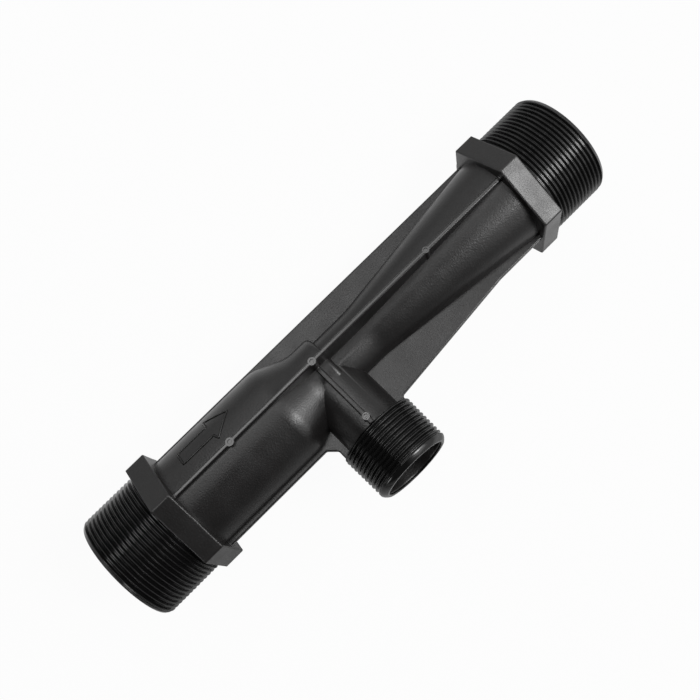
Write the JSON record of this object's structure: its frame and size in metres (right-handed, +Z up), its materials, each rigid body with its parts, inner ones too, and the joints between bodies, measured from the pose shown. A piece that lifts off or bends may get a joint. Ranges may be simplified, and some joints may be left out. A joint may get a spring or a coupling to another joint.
{
  "type": "venturi fertilizer injector",
  "caption": "Moulded venturi injector: male threaded inlet and outlet on one axis, hexagon collars, ribbed body with throat and diffuser, threaded suction port on the side.",
  "frame": {"origin": "on the flow axis, in the plane where the inlet thread meets its hexagon collar", "axes": "+X along the flow from inlet to outlet, +Z up with the part lying on one flat of each hexagon collar, the suction port pointing to -Y and 30 degrees above level"},
  "size_m": [0.2962, 0.0988, 0.0784],
  "materials": {
    "moulded_plastic": "black moulded polypropylene, fine spark-eroded texture, glossier threads"
  },
  "bodies": {
    "root": {"injector_body": "moulded_plastic"}
  },
  "joints": []
}
